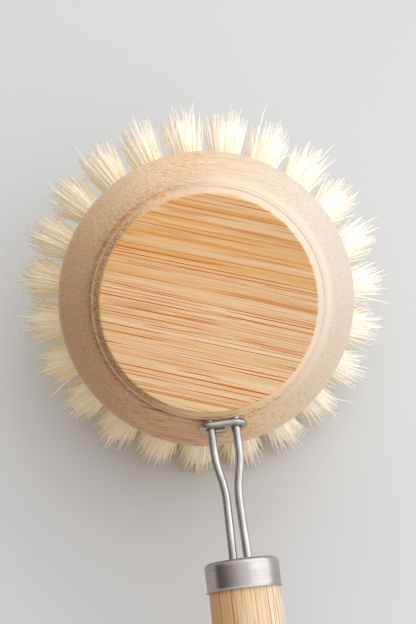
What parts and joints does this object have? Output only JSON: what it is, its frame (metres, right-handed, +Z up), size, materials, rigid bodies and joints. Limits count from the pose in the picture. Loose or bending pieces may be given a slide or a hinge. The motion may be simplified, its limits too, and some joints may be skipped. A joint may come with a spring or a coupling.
{
  "type": "dish brush",
  "caption": "Round turned-wood dish brush: a head with fanned fibre tufts on a sprung wire fork, an oval locking ring, a steel ferrule and a turned handle with a hanging hole.",
  "frame": {"origin": "on the floor under the middle of the brush as it lies on two tufts and the handle's tail", "axes": "+X from the head towards the handle's tail, +Z up, and XZ is the plane of symmetry"},
  "size_m": [0.246, 0.0766, 0.0606],
  "materials": {
    "head_bamboo": "turned, sanded, unvarnished bamboo with fine brown fibre streaks",
    "handle_bamboo": "turned, sanded, unvarnished bamboo, grain along the handle",
    "fibre": "cream plant fibre, matt, slightly translucent",
    "fork_wire": "drawn steel wire, satin",
    "ring_wire": "drawn steel wire, satin, with a small gap between its cut ends",
    "ferrule_steel": "spun steel sheet, satin, brushed round",
    "staple_wire": "flat drawn wire, hidden in the wood"
  },
  "bodies": {
    "handle_unit": {"handle": "handle_bamboo", "ferrule": "ferrule_steel", "wire_fork": "fork_wire"},
    "brush_head": {"head_block": "head_bamboo", "tuft_centre": "fibre", "tuft_inner_01": "fibre", "tuft_inner_02": "fibre", "tuft_inner_03": "fibre", "tuft_inner_04": "fibre", "tuft_inner_05": "fibre", "tuft_inner_06": "fibre", "tuft_inner_07": "fibre", "tuft_inner_08": "fibre", "tuft_middle_01": "fibre", "tuft_middle_02": "fibre", "tuft_middle_03": "fibre", "tuft_middle_04": "fibre", "tuft_middle_05": "fibre", "tuft_middle_06": "fibre", "tuft_middle_07": "fibre", "tuft_middle_08": "fibre", "tuft_middle_09": "fibre", "tuft_middle_10": "fibre", "tuft_middle_11": "fibre", "tuft_middle_12": "fibre", "tuft_middle_13": "fibre", "tuft_middle_14": "fibre", "tuft_middle_15": "fibre", "tuft_middle_16": "fibre", "tuft_outer_01": "fibre", "tuft_outer_02": "fibre", "tuft_outer_03": "fibre", "tuft_outer_04": "fibre", "tuft_outer_05": "fibre", "tuft_outer_06": "fibre", "tuft_outer_07": "fibre", "tuft_outer_08": "fibre", "tuft_outer_09": "fibre", "tuft_outer_10": "fibre", "tuft_outer_11": "fibre", "tuft_outer_12": "fibre", "tuft_outer_13": "fibre", "tuft_outer_14": "fibre", "tuft_outer_15": "fibre", "tuft_outer_16": "fibre", "tuft_outer_17": "fibre", "tuft_outer_18": "fibre", "tuft_outer_19": "fibre", "tuft_outer_20": "fibre", "tuft_outer_21": "fibre", "tuft_outer_22": "fibre", "tuft_outer_23": "fibre", "anchor_centre": "staple_wire", "anchors_inner": "staple_wire", "anchors_middle": "staple_wire", "anchors_outer": "staple_wire"},
    "lock_ring": {"lock_ring": "ring_wire"}
  },
  "joints": [
    {"name": "ring_slide", "type": "slide", "parent": "handle_unit", "child": "lock_ring", "axis": [0.9834, 0, -0.1815], "range_m": [0, 0.024]},
    {"name": "head_pull", "type": "slide", "parent": "handle_unit", "child": "brush_head", "axis": [-0.9834, 0, 0.1815], "range_m": [0, 0.03]}
  ]
}
